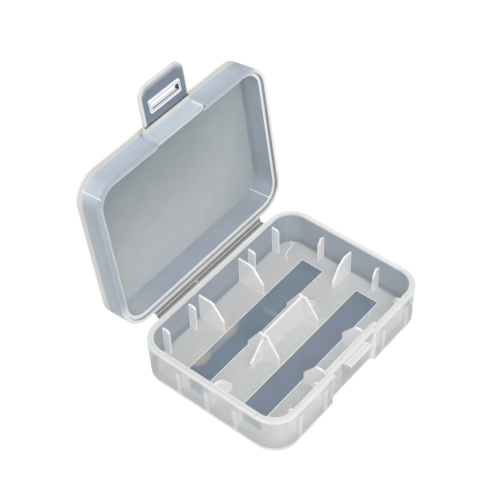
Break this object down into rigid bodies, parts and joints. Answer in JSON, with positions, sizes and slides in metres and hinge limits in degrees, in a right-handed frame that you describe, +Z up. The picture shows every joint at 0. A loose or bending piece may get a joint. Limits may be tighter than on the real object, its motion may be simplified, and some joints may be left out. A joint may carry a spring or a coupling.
{
  "type": "battery storage case",
  "caption": "Small flat translucent plastic case for cylindrical cells, with a hinged lid, snap latch and cradle fins on a ribbed floor.",
  "frame": {"origin": "centre of the base's underside, on the face that it stands on", "axes": "+X along the hinge, +Y from the latch side to the hinge side, +Z up out of the base"},
  "size_m": [0.076, 0.0778, 0.0878],
  "materials": {
    "translucent_wall": "smooth translucent natural plastic",
    "ribbed_floor": "translucent natural plastic with fine moulded ribs",
    "clear_pane": "smooth clear plastic",
    "lid_panel": "fine matt translucent plastic",
    "rim": "smooth milky plastic edge",
    "fin": "smooth translucent plastic",
    "hinge_strip": "thin flexed translucent plastic",
    "latch": "smooth translucent plastic"
  },
  "bodies": {
    "base": {"base_floor": "ribbed_floor", "floor_pane_front": "clear_pane", "floor_pane_hinge": "clear_pane", "base_walls": "translucent_wall", "base_lip": "rim", "centre_web": "fin", "catch_bar": "rim", "base_hinge_flange": "hinge_strip", "main_hinge_web": "hinge_strip", "centre_fin_left": "fin", "centre_gusset_left": "fin", "end_fin_left": "fin", "front_fin_left": "fin", "front_end_stop_left": "fin", "front_rib_left_1": "fin", "front_rib_left_2": "fin", "hinge_fin_left": "fin", "hinge_end_stop_left": "fin", "hinge_rib_left_1": "fin", "hinge_rib_left_2": "fin", "centre_fin_right": "fin", "centre_gusset_right": "fin", "end_fin_right": "fin", "front_fin_right": "fin", "front_end_stop_right": "fin", "front_rib_right_1": "fin", "front_rib_right_2": "fin", "hinge_fin_right": "fin", "hinge_end_stop_right": "fin", "hinge_rib_right_1": "fin", "hinge_rib_right_2": "fin"},
    "lid": {"lid_panel": "lid_panel", "lid_walls": "translucent_wall", "lid_skirt": "rim", "lid_hinge_flange": "hinge_strip", "latch_flange": "translucent_wall", "latch_hinge_web": "hinge_strip"},
    "latch": {"latch_flap": "latch", "latch_collar": "latch"}
  },
  "joints": [
    {"name": "lid_hinge", "type": "hinge", "parent": "base", "child": "lid", "pos_m": [0, 0.0301, 0.01435], "axis": [1, 0, 0], "range_deg": [-83, 97]},
    {"name": "latch_hinge", "type": "hinge", "parent": "lid", "child": "latch", "pos_m": [0, 0.04298, 0.07453], "axis": [1, 0, 0], "range_deg": [0, 105]}
  ]
}
